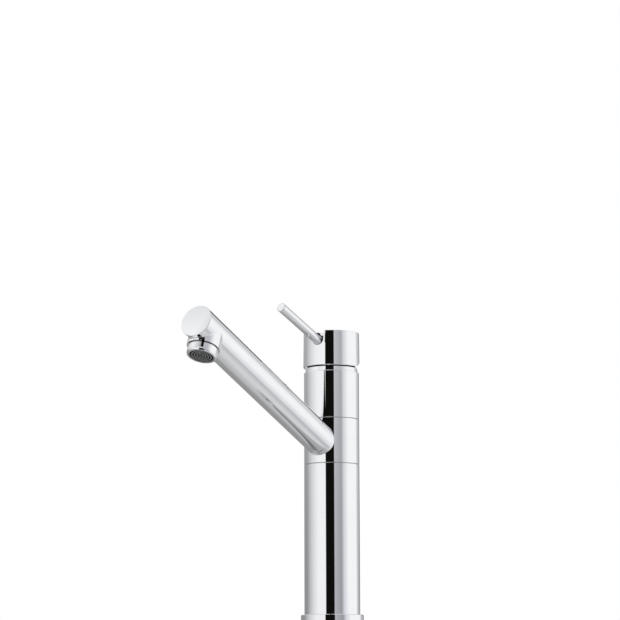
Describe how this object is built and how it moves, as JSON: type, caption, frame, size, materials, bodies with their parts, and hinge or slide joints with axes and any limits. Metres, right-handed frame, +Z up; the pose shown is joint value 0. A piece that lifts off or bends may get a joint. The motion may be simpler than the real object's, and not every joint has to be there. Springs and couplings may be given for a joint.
{
  "type": "single-lever swivel mixer tap",
  "caption": "Deck-mounted single-lever mixer tap: slim round column, slanted tube spout that swivels on a collar, screw-in aerator, and a thin pin lever in a tipping round cap.",
  "frame": {"origin": "centre of the tap hole, on the column's axis at the worktop's face, which the base gasket's underside meets", "axes": "+Z up along the column; at rest the spout and the lever point along -Y; +X is the user's left-hand side as seen from behind the tap, looking along -Y"},
  "size_m": [0.0552, 0.2567, 0.3573],
  "materials": {
    "chrome": "polished chrome plate on brass",
    "raw_brass": "turned, unplated",
    "steel": "zinc-plated or stainless",
    "cast_zinc": "dull cast",
    "black_rubber": "matt",
    "slide_plastic": "satin",
    "cartridge_plastic": "satin",
    "dark_plastic": "moulded nylon",
    "disc_ceramic": "lapped"
  },
  "bodies": {
    "fixed_body": {"base_flange": "chrome", "base_gasket": "black_rubber", "column_tube": "chrome", "anchor_ring": "raw_brass", "fixing_stud": "steel", "clamp_pad": "black_rubber", "clamp_plate": "steel", "fixing_nut": "steel", "valve_body": "raw_brass", "swivel_stop_pin": "steel", "lower_slide_ring": "slide_plastic", "upper_slide_ring": "slide_plastic", "swivel_seals": "black_rubber", "upper_body": "chrome", "cover_ring": "dark_plastic", "cartridge_housing": "cartridge_plastic", "cartridge_base": "cartridge_plastic", "port_seals": "black_rubber", "fixed_disc": "disc_ceramic", "cartridge_nut": "raw_brass"},
    "spout": {"spout_collar": "chrome", "spout_tube": "chrome", "spout_end_plate": "chrome", "aerator_ring": "chrome", "aerator_screen": "dark_plastic", "aerator_washer": "black_rubber"},
    "rotor": {"cartridge_rotor": "cartridge_plastic", "pivot_pin": "steel"},
    "disc_pack": {"moving_disc": "disc_ceramic", "disc_slider": "cartridge_plastic"},
    "handle": {"stem": "steel", "handle_hub": "cast_zinc", "cap": "chrome", "lever_rod": "chrome", "grub_screw": "steel"}
  },
  "joints": [
    {"name": "spout_swivel", "type": "hinge", "parent": "fixed_body", "child": "spout", "pos_m": [0, 0, 0.16], "axis": [0, 0, 1], "range_deg": [-70, 70]},
    {"name": "handle_turn", "type": "hinge", "parent": "fixed_body", "child": "rotor", "pos_m": [0, 0, 0.214], "axis": [0, 0, 1], "range_deg": [-45, 45]},
    {"name": "handle_lift", "type": "hinge", "parent": "rotor", "child": "handle", "pos_m": [0, 0, 0.214], "axis": [-1, 0, 0], "range_deg": [0, 25]},
    {"name": "disc_slide", "type": "slide", "parent": "rotor", "child": "disc_pack", "axis": [0, -1, 0], "range_m": [0, 0.0052]}
  ],
  "couplings": [
    {"joint": "disc_slide", "follows": "handle_lift", "m_per_rad": 0.0116}
  ]
}
